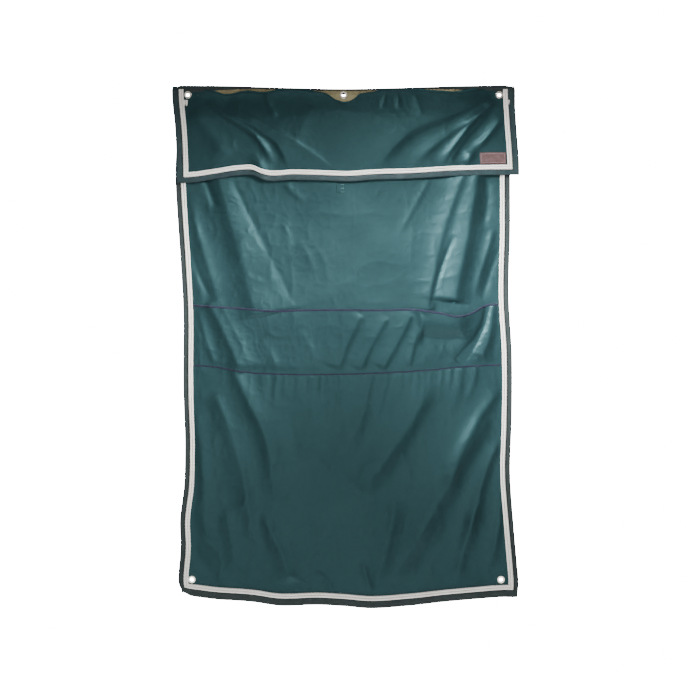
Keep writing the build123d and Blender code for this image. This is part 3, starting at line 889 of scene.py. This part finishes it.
def tape_material(name, dark, light, rib, roughness, across="X"):
    """Ribbed woven tape: ribs lie across the strip, and colour is darker between them as painted
    shade.
    """
    material, tree = new_material(name)
    uv = add(tree, "ShaderNodeUVMap", uv_map="pattern").outputs["UV"]
    wave = add(tree, "ShaderNodeTexWave", {"Vector": uv, "Scale": 1 / rib / 3.18,
                                           "Distortion": 0.6, "Detail": 2.0,
                                           "Detail Scale": 2.0},
               wave_type="BANDS", bands_direction=across, wave_profile="SIN").outputs["Fac"]
    lint = add(tree, "ShaderNodeTexNoise", {"Vector": uv, "Scale": 45.0, "Detail": 5.0,
                                            "Roughness": 0.7}).outputs["Fac"]
    # painted shade: the colour darkens in the grooves between ribs, where the bump is low; the
    # lint noise varies it at random
    tone = add(tree, "ShaderNodeMath", {0: wave, 1: 0.35, 2: lint},
               operation="MULTIPLY_ADD").outputs[0]
    ramp = add(tree, "ShaderNodeValToRGB", {"Fac": tone})
    dye(ramp, 0.35, dark, 0.95, light)
    ribs = add(tree, "ShaderNodeBump", {"Height": wave, "Strength": 0.5,
                                        "Distance": 0.5 * MM})
    fuzz = add(tree, "ShaderNodeBump", {"Height": lint, "Strength": 0.35,
                                        "Distance": 0.6 * MM, "Normal": ribs.outputs[0]})
    shader = add(tree, "ShaderNodeBsdfPrincipled", {
        "Base Color": ramp.outputs["Color"], "Roughness": roughness, "IOR": 1.5,
        "Specular IOR Level": 0.35, "Sheen Weight": 0.12, "Sheen Roughness": 0.45,
        "Normal": fuzz.outputs[0]})
    add(tree, "ShaderNodeOutputMaterial", {"Surface": shader.outputs[0]})
    return material


slate_tape = tape_material("slate_cotton_binding", "#182121", "#293535", 2.4 * MM, 0.72)
navy_tape = tape_material("navy_woven_tape", "#0a1022", "#141c34", 2.0 * MM, 0.8)
green_tape = tape_material("green_nylon_binding", "#122427", "#20383c", 2.4 * MM, 0.5)
green_webbing = tape_material("green_polyester_webbing", "#18302f", "#26484a", 2.4 * MM, 0.6)

# %% [markdown]
# ## Piping cord, thread, leather and nickel
#
# The piping is laid cotton cord, bleached cream and patchy with grey dust; its colour is
# darker between its strands, drawn 4 mm apart, which is painted shade.  Sewing thread is
# twisted polyester or waxed linen.  The patch is vegetable-tanned leather with a fine
# pebble grain.  The eyelets are brass, drawn, nickel-plated and barrel-polished, so they
# reflect like soft mirrors.

# %% Cord, thread, leather and nickel
def cord_material(name, groove_shade_and_dust, clean, lay):
    material, tree = new_material(name)
    uv = add(tree, "ShaderNodeUVMap", uv_map="pattern").outputs["UV"]
    slant = add(tree, "ShaderNodeMapping", {"Vector": uv, "Rotation": (0, 0, 0.75)})
    strands = add(tree, "ShaderNodeTexWave", {"Vector": slant.outputs[0],
                                              "Scale": 1 / lay / 3.18, "Distortion": 0.4},
                  wave_type="BANDS", bands_direction="X", wave_profile="SIN").outputs["Fac"]
    soil = add(tree, "ShaderNodeTexNoise", {"Vector": uv, "Scale": 18.0, "Detail": 6.0,
                                            "Roughness": 0.65}).outputs["Fac"]
    # painted shade: the colour darkens in the grooves between strands, where the bump is low;
    # the soil noise adds grey dust at random
    tone = add(tree, "ShaderNodeMath", {0: strands, 1: 0.45, 2: soil},
               operation="MULTIPLY_ADD").outputs[0]
    ramp = add(tree, "ShaderNodeValToRGB", {"Fac": tone})
    dye(ramp, 0.30, groove_shade_and_dust, 0.75, clean)
    twist = add(tree, "ShaderNodeBump", {"Height": strands, "Strength": 0.6,
                                         "Distance": 0.7 * MM})
    shader = add(tree, "ShaderNodeBsdfPrincipled", {
        "Base Color": ramp.outputs["Color"], "Roughness": 0.85, "IOR": 1.5,
        "Specular IOR Level": 0.2, "Sheen Weight": 0.2, "Sheen Roughness": 0.6,
        "Normal": twist.outputs[0]})
    add(tree, "ShaderNodeOutputMaterial", {"Surface": shader.outputs[0]})
    return material


cream_cord = cord_material("cream_cotton_piping", "#dbd5c6", "#fffdf6", 4 * MM)
slate_thread = cord_material("slate_polyester_thread", "#1b2b33", "#33464f", 1.2 * MM)
mauve_thread = cord_material("mauve_linen_thread", "#7d6672", "#a58e9b", 1.2 * MM)
green_thread = cord_material("green_polyester_thread", "#3d6a6e", "#6e9a9c", 1.2 * MM)

brown_leather, tree = new_material("brown_saddle_leather")
uv = add(tree, "ShaderNodeUVMap", uv_map="pattern").outputs["UV"]
pebble = add(tree, "ShaderNodeTexVoronoi", {"Vector": uv, "Scale": 620.0,
                                            "Randomness": 0.9}).outputs["Distance"]
handled = add(tree, "ShaderNodeTexNoise", {"Vector": uv, "Scale": 55.0, "Detail": 5.0,
                                           "Roughness": 0.6}).outputs["Fac"]
ramp = add(tree, "ShaderNodeValToRGB", {"Fac": handled})
dye(ramp, 0.3, "#44302f", 0.8, "#64494a")
grain = add(tree, "ShaderNodeBump", {"Height": pebble, "Strength": 0.35,
                                     "Distance": 0.35 * MM}, invert=True)
creases = add(tree, "ShaderNodeBump", {"Height": handled, "Strength": 0.5,
                                       "Distance": 1.0 * MM, "Normal": grain.outputs[0]})
leather = add(tree, "ShaderNodeBsdfPrincipled", {
    "Base Color": ramp.outputs["Color"], "Roughness": 0.5, "IOR": 1.5,
    "Specular IOR Level": 0.45, "Normal": creases.outputs[0]})
add(tree, "ShaderNodeOutputMaterial", {"Surface": leather.outputs[0]})

nickel_plate, tree = new_material("nickel_plated_brass")
place = add(tree, "ShaderNodeTexCoord").outputs["Object"]
tumble = add(tree, "ShaderNodeTexNoise", {"Vector": place, "Scale": 400.0, "Detail": 4.0,
                                          "Roughness": 0.6}).outputs["Fac"]
haze = add(tree, "ShaderNodeMapRange", {"Value": tumble, "From Min": 0.3, "From Max": 0.7,
                                        "To Min": 0.20, "To Max": 0.34}).outputs[0]
ramp = add(tree, "ShaderNodeValToRGB", {"Fac": tumble})
dye(ramp, 0.3, "#cfc8b8", 0.7, "#efebe0")
dings = add(tree, "ShaderNodeBump", {"Height": tumble, "Strength": 0.12,
                                     "Distance": 0.2 * MM})
nickel = add(tree, "ShaderNodeBsdfPrincipled", {
    "Base Color": ramp.outputs["Color"], "Metallic": 1.0, "Roughness": haze,
    "Normal": dings.outputs[0]})
add(tree, "ShaderNodeOutputMaterial", {"Surface": nickel.outputs[0]})
print("materials:", len(bpy.data.materials))

# %% [markdown]
# ## The main panel, its lining and its bindings
#
# The panel is two layers closed by tape at both sides and the foot.  Inside the tape
# run two cords side by side, sewn down.  They start just under the flap.

# %% Panel, lining, side and foot tape
MAIN_EDGES = (MAIN_LEFT, MAIN_RIGHT, TAPE_TOP, FOOT)
CORD_START = HEAD_Z - high("outer_piping_cord").z
MAIN_CORD_EDGES = (MAIN_LEFT, MAIN_RIGHT, CORD_START, FOOT)


def hang_panel(x, d):
    out = hang_main(x, d)
    out[..., 2] += head_bow(x, d)
    return out


main_panel = cloth_sheet("main_panel_cloth", hang_panel, MAIN_LEFT + MM, MAIN_RIGHT - MM,
                         SHEET_TOP, FOOT - MM, 5 * MM, shell_cloth,
                         eyelets=TOP_EYELETS + FOOT_EYELETS)
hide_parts("main_panel")

panel_lining = cloth_sheet("panel_lining_cloth", hang_panel, MAIN_LEFT + MM,
                           MAIN_RIGHT - MM, SHEET_TOP, FOOT - MM, 9 * MM, lining_cloth,
                           thick=0.8 * MM, lift=-2.0 * MM,
                           eyelets=TOP_EYELETS + FOOT_EYELETS)
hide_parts("panel_lining")

tape_shape = folded_tape(MAIN_BINDING, FOOT_BINDING, 1.1 * MM, 3.6 * MM, 1.2 * MM)
main_tape = bind_edge("main_side_and_foot_tape", hang_main, MAIN_EDGES, tape_shape,
                      7 * MM, slate_tape)
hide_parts("left_side_binding", "right_side_binding", "bottom_binding")

outer_piping = pipe_edge("main_outer_piping", hang_main, MAIN_CORD_EDGES,
                         MAIN_BINDING + CORD_INSET, FOOT_BINDING + CORD_INSET, CORD_RADIUS,
                         cream_cord)
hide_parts("outer_piping_cord")
inner_piping = pipe_edge("main_inner_piping", hang_main, MAIN_CORD_EDGES,
                         MAIN_BINDING + CORD_INSET + CORD_STEP,
                         FOOT_BINDING + CORD_INSET + CORD_STEP, CORD_RADIUS, cream_cord)
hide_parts("inner_piping_cord")

# %% [markdown]
# ## The head: webbing behind, khaki facing in front
#
# The hanging load runs through a strip of webbing sewn along the back of the head.  The
# facing covers it in front.  It is slack and much creased, being folded every night.

# %% Webbing and facing
def hang_webbing(x, d):
    out = hang_panel(x, d)
    out[..., 1] += 3.4 * MM
    out[..., 1] += 0.5 * MM * smooth_noise(x, d, 0.05, 91)
    return out


webbing = cloth_sheet("head_webbing", hang_webbing, low("heading_webbing").x,
                      high("heading_webbing").x, SHEET_TOP, 0.046, 5 * MM, green_webbing,
                      thick=1.4 * MM, eyelets=TOP_EYELETS)
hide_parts("heading_webbing")


def hang_facing(x, d):
    out = hang_panel(x, d)
    rucks = 1.5 * MM * (crinkle(x, d * 2.5, 0.030, 61) + 0.4)
    rucks += 0.8 * MM * (crinkle(x, d, 0.013, 65) + 0.4)
    rucks = np.clip(rucks, 0, 3.2 * MM) * calm(x, d, TOP_EYELETS, 0.014, 0.032)
    middle_gap = np.hypot(x, d - 0.028)
    rucks += 1.5 * MM * fade(0.030, 0.012, middle_gap)
    out[..., 1] -= 1.2 * MM + rucks * fade(0.0, 0.010, d)
    return out


facing = cloth_sheet("khaki_head_facing", hang_facing, low("top_facing").x,
                     high("top_facing").x, SHEET_TOP, 0.110, 3.5 * MM, khaki_drill,
                     thick=0.8 * MM, eyelets=TOP_EYELETS)
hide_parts("top_facing")

# %% [markdown]
# ## The flap
#
# The flap's cloth starts at its slumped upper edge and turns about the head when it is
# lifted; its pieces are built on no body.  Its lining rises a little past the shell where
# the two layers part at the top.


def lining_top(x):
    frill = 1.6 * MM * smooth_noise(x, np.zeros_like(x), 0.017, 33)
    return np.maximum(slump(x) - 4.5 * MM - frill, 0.0025)


flap_cloth = cloth_sheet("flap_cloth", hang_flap, FLAP_LEFT + MM, FLAP_RIGHT - MM, slump,
                         FLAP_FOOT - MM, 4 * MM, shell_cloth, eyelets=TOP_EYELETS, body=None)
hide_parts("flap_panel", "flap_header")
flap_lining = cloth_sheet("flap_lining_cloth", hang_flap, FLAP_LEFT + MM, FLAP_RIGHT - MM,
                          lining_top, FLAP_FOOT - MM, 6 * MM, lining_cloth, thick=0.7 * MM,
                          lift=-1.5 * MM, eyelets=TOP_EYELETS, body=None)
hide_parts("flap_lining")

FLAP_EDGES = (FLAP_LEFT, FLAP_RIGHT, TAPE_TOP, FLAP_FOOT)
flap_shape = folded_tape(FLAP_BINDING, FLAP_FOOT_BINDING, 1.1 * MM, 3.0 * MM, 1.2 * MM)
flap_tape = bind_edge("flap_edge_tape", hang_flap, FLAP_EDGES, flap_shape, 5 * MM,
                      green_tape, body=None)
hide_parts("flap_left_binding", "flap_right_binding", "flap_bottom_binding",
            "header_side_bindings")

flap_outer = pipe_edge("flap_outer_piping", hang_flap, FLAP_EDGES,
                       FLAP_BINDING + CORD_INSET, FLAP_FOOT_BINDING + CORD_INSET, CORD_RADIUS,
                       cream_cord, body=None)
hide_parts("flap_outer_piping_cord", "header_piping_cords")
flap_inner = pipe_edge("flap_inner_piping", hang_flap, FLAP_EDGES,
                       FLAP_BINDING + CORD_INSET + CORD_STEP,
                       FLAP_FOOT_BINDING + CORD_INSET + CORD_STEP, CORD_RADIUS, cream_cord,
                       body=None)
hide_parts("flap_inner_piping_cord")
for piece in (flap_cloth, flap_lining, flap_tape, flap_outer, flap_inner):
    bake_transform(piece)

# %% [markdown]
# ## The head's binding
#
# Tape is folded over the head to close all the layers.  It was sewn on by hand feed, so
# its front leg is broad near the corners and shrinks to a narrow lip in the middle.

# %% Head tape
HEAD_TAPE = [(-600, 25), (-520, 22), (-430, 14), (-330, 5), (-150, 3), (0, 3), (150, 4),
             (330, 6), (430, 13), (520, 18), (600, 22)]


def hang_head(x, d):
    corner = 0.012 * fade(0.568, 0.600, np.abs(x))
    z = HEAD_Z - d + head_bow(x, np.zeros_like(x)) - corner * fade(0.02, 0, d)
    wave = 0.6 * MM * smooth_noise(x, np.zeros_like(x), 0.06, 95)
    return np.stack([x, wave - 3.0 * MM, z], axis=-1)


head_x = np.arange(FLAP_LEFT, FLAP_RIGHT + MM, 6 * MM)
leg = curve(metres(HEAD_TAPE), head_x)
raise_front = 2.0 * MM * fade(0.560, 0.585, np.abs(head_x))
rings = []
for share, height in [(1.0, 0.2), (0.97, 0.9), (0.5, 1.1), (0.1, 1.0)]:
    rings.append((head_x, leg * share, height * MM + raise_front))
for rise, height in [(-1.0, 0.2), (-1.3, -3.5), (-1.0, -7.4)]:
    rings.append((head_x, np.full_like(head_x, rise * MM), np.full_like(head_x, height * MM)))
for down, height in [(1.0, -8.0), (10.0, -8.1), (18.0, -8.0), (18.0, -7.2)]:
    rings.append((head_x, np.full_like(head_x, down * MM), np.full_like(head_x, height * MM)))
head_tape = sweep("head_edge_tape", hang_head, rings, slate_tape)
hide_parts("top_binding")

# %% [markdown]
# ## The pocket
#
# The pocket is cut as wide as the panel between its cords.  A narrow navy tape is
# folded over its free edge, and another covers the seam along its bottom.

# %% Pocket cloth and tapes
pocket = cloth_sheet("pocket_cloth", hang_pocket, POCKET_LEFT, POCKET_RIGHT,
                     MOUTH_D + 1.5 * MM, SEAM_D, 4 * MM, shell_cloth, thick=0.9 * MM)
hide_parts("pocket_front")

mouth_x = np.arange(POCKET_LEFT, POCKET_RIGHT, 5 * MM)
mouth = []
for down, height in [(7.0, 0.1), (6.8, 0.7), (3.5, 0.9), (0.4, 0.8), (-0.6, -0.3),
                     (0.4, -1.6), (3.5, -1.7), (6.8, -1.6), (7.0, -1.1)]:
    mouth.append((mouth_x, np.full_like(mouth_x, MOUTH_D + down * MM),
                  np.full_like(mouth_x, height * MM)))
mouth_tape = sweep("pocket_mouth_tape", hang_pocket, mouth, navy_tape)
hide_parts("pocket_top_binding")

seam_x = np.arange(POCKET_LEFT, POCKET_RIGHT, 5 * MM)
ruck = 1.1 * MM * smooth_noise(seam_x, np.zeros_like(seam_x), 0.023, 99)
seam = []
for down, height in [(-3.5, 0.0), (-3.3, 1.6), (0.0, 2.0), (3.3, 1.2), (3.5, -0.2)]:
    seam.append((seam_x, SEAM_D + down * MM + ruck, np.full_like(seam_x, height * MM)))
seam_tape = sweep("pocket_seam_tape_cover", hang_main, seam, navy_tape)
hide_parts("pocket_seam_tape")

# %% [markdown]
# ## Small sewn pieces
#
# A leather patch is sewn on the flap near its lower right corner; it carries no mark.
# Cloth squares back the bottom eyelets, and a small patch is tacked at the middle with
# three short rows of stitches.

# %% Patches
def patch_plate(name, hang, x_low, x_high, d_low, d_high, round_off, thick, lift, material,
                body="curtain", spacing=2 * MM):
    """A thin plate with rounded corners and soft edges that lies on the cloth."""
    columns = int(round((x_high - x_low) / spacing)) + 1
    rows = int(round((d_high - d_low) / spacing)) + 1
    half_x, half_d = (x_high - x_low) / 2, (d_high - d_low) / 2
    u = np.tile(np.linspace(-1, 1, columns), (rows, 1)) * half_x
    v = np.tile(np.linspace(-1, 1, rows)[:, None], (1, columns)) * half_d
    beyond_u = np.maximum(np.abs(u) - (half_x - round_off), 0)
    beyond_v = np.maximum(np.abs(v) - (half_d - round_off), 0)
    longest = np.maximum(beyond_u, beyond_v)
    diagonal = np.maximum(np.hypot(beyond_u, beyond_v), 1e-9)
    pull = np.where(longest > 0, longest / diagonal, 1)
    u = np.sign(u) * (np.minimum(np.abs(u), half_x - round_off) + beyond_u * pull)
    v = np.sign(v) * (np.minimum(np.abs(v), half_d - round_off) + beyond_v * pull)
    x, d = (x_low + x_high) / 2 + u, (d_low + d_high) / 2 + v
    rim_gap = np.minimum(half_x - np.abs(u), half_d - np.abs(v))
    crown = thick * (0.55 + 0.45 * fade(0.0, 2.5 * MM, rim_gap))
    places, normals = with_normals(hang, x, d)
    front = (places + normals * (lift + crown)[..., None]).reshape(-1, 3)
    back = (places + normals * lift).reshape(-1, 3)
    faces, rim = two_layers(columns, rows)
    faces += rim
    uv = np.stack([x.ravel(), -d.ravel()], axis=1)
    return make_piece(name, np.concatenate([front, back]), faces, np.concatenate([uv, uv]),
                      material, body)


patch = patch_plate("leather_patch", hang_flap, PATCH_LOW.x, PATCH_HIGH.x,
                    HEAD_Z - PATCH_HIGH.z, HEAD_Z - PATCH_LOW.z, 4 * MM, 1.8 * MM, 0.1 * MM,
                    brown_leather, body="flap")
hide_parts("name_patch")


def oblong(x_low, x_high, d_low, d_high, corner):
    """A closed pattern line round an oblong with small quarter-round corners."""
    line = []
    for cx, cd, turn in [(x_high - corner, d_low + corner, -90), (x_high - corner,
                         d_high - corner, 0), (x_low + corner, d_high - corner, 90),
                         (x_low + corner, d_low + corner, 180)]:
        for a in np.radians(np.linspace(turn, turn + 90, 5)):
            line.append((cx + corner * math.cos(a), cd + corner * math.sin(a)))
    line.append(line[0])
    return np.array(line).T


border = 5 * MM
ring_x, ring_d = oblong(PATCH_LOW.x + border, PATCH_HIGH.x - border,
                        HEAD_Z - PATCH_HIGH.z + border, HEAD_Z - PATCH_LOW.z - border, 3 * MM)
patch_stitches = stitch_line("leather_patch_stitches", hang_flap, ring_x, ring_d, 1.75 * MM,
                             mauve_thread, body="flap", length=3.0 * MM, gap=1.0 * MM,
                             radius=0.5 * MM)
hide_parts("name_patch_stitching")

tack_low, tack_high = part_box("centre_tack_patch")
tack = patch_plate("centre_tack_patch_cloth", hang_main, tack_low.x, tack_high.x,
                   HEAD_Z - tack_high.z, HEAD_Z - tack_low.z, 2 * MM, 0.9 * MM, 0.1 * MM,
                   shell_cloth)
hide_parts("centre_tack_patch")
for row in range(3):
    row_d = HEAD_Z - tack_high.z + (4 + 13 * row) * MM
    row_x = np.linspace(1, 19, 7) * MM
    bar = stitch_line("tack_stitches_%d" % (row + 1), hang_main, row_x,
                      np.full_like(row_x, row_d), 3.2 * MM, green_thread)

for number, eye in enumerate(FOOT_EYELETS):
    side_name = "left" if eye.x < 0 else "right"
    square = cloth_sheet("corner_square_" + side_name, hang_main, eye.x - 0.030,
                         eye.x + 0.028, HEAD_Z - eye.z - 0.019, HEAD_Z - eye.z + 0.047,
                         3 * MM, khaki_drill, thick=0.9 * MM, lift=-3.1 * MM, eyelets=[eye])
    if number == 0:
        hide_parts("bottom_corner_patches")

# %% [markdown]
# ## Stitching
#
# A row of straight stitches holds the edge tapes of the panel and the flap down, two
# millimetres in from their edges.

# %% Stitches
def stitch_edge(name, hang, edges, in_x, in_d, lift, material, body="curtain"):
    left, right, top, foot = edges
    side, share = edge_run(left, right, top, foot, 6 * MM)
    x, d = edge_place(side, share, left, right, top, foot, in_x, in_d)
    return stitch_line(name, hang, x, d, lift, material, body)


main_stitches = stitch_edge("main_tape_stitches", hang_main, MAIN_EDGES,
                            MAIN_BINDING - 2 * MM, FOOT_BINDING - 2 * MM, 1.15 * MM,
                            slate_thread)
flap_stitches = stitch_edge("flap_tape_stitches", hang_flap, FLAP_EDGES,
                            FLAP_BINDING - 2 * MM, FLAP_FOOT_BINDING - 2 * MM, 1.15 * MM,
                            slate_thread, body=None)
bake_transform(flap_stitches)

# %% [markdown]
# ## The metal keeps its shape
#
# The eyelets and washers are the frame's own.  They only get their plated finish.

# %% Eyelets
for node in ("top_eyelets", "top_eyelet_washers", "bottom_eyelets", "bottom_eyelet_washers"):
    for slot in frame["nodes"][node].material_slots:
        slot.material = nickel_plate
print("plated with", nickel_plate.name)

# %% [markdown]


# %% [markdown]
# ## Floor, room and light
#
# A white paper floor lies well below, and the room around is plain white.  Satin cloth
# shows its folds by gloss.  So two narrow soft lamps cross from above, one for the folds
# at each side, a broad weak one fills in from the front, and one lights the back.

# %% Stage
def plain_surface(name, colour, roughness):
    material, tree = new_material(name)
    shader = add(tree, "ShaderNodeBsdfPrincipled", {"Base Color": linear(colour),
                                                    "Roughness": roughness,
                                                    "Specular IOR Level": 0.2})
    add(tree, "ShaderNodeOutputMaterial", {"Surface": shader.outputs[0]})
    return material


FLOOR_Z = -2.6
points = [(-5, -6, FLOOR_Z), (5, -6, FLOOR_Z), (5, 1.4, FLOOR_Z), (-5, 1.4, FLOOR_Z)]
white_paper = plain_surface("white_paper_floor", "#f4f4f4", 0.9)
floor = make_piece("paper_floor", points, [(0, 1, 2, 3)], [p[:2] for p in points],
                   white_paper, body=None)

# %% Lights
WHITE_BEHIND, ROOM_LIGHT = 30.0, 0.4


def soft_lamp(name, place, target, size, power, spread=180):
    data = bpy.data.lights.new(name, "AREA")
    data.shape = "DISK"
    data.size = size
    data.energy = power
    data.spread = math.radians(spread)
    lamp = bpy.data.objects.new(name, data)
    lamp.location = place
    direction = Vector(target) - Vector(place)
    lamp.rotation_euler = direction.to_track_quat("-Z", "Y").to_euler()
    bpy.context.collection.objects.link(lamp)
    return lamp


soft_lamp("key_lamp", (-0.90, -2.0, 0.70), (0.62, 0, -0.76), 0.5, 11, spread=27)
soft_lamp("left_lamp", (0.95, -1.8, 0.40), (-0.50, 0, -0.78), 0.5, 7, spread=30)
soft_lamp("front_fill", (0, -4.5, -1.5), (0, 0, -1.2), 3.0, 10, spread=66)
soft_lamp("floor_lamp", (0.0, -0.5, -2.0), (0.0, -0.5, -2.6), 3.0, 60)
soft_lamp("back_lamp", (0.6, 3.2, 0.4), (0, 0, -0.9), 2.0, 45)
world = bpy.data.worlds.new("pale_room")
world.use_nodes = True
tree = world.node_tree
tree.nodes.clear()
room = add(tree, "ShaderNodeBackground", {"Color": linear("#ffffff"), "Strength": ROOM_LIGHT})
white = add(tree, "ShaderNodeBackground", {"Color": linear("#ffffff"), "Strength": WHITE_BEHIND})
seen = add(tree, "ShaderNodeLightPath").outputs["Is Camera Ray"]
both = add(tree, "ShaderNodeMixShader", {0: seen, 1: room.outputs[0], 2: white.outputs[0]})
add(tree, "ShaderNodeOutputWorld", {"Surface": both.outputs[0]})
bpy.context.scene.world = world
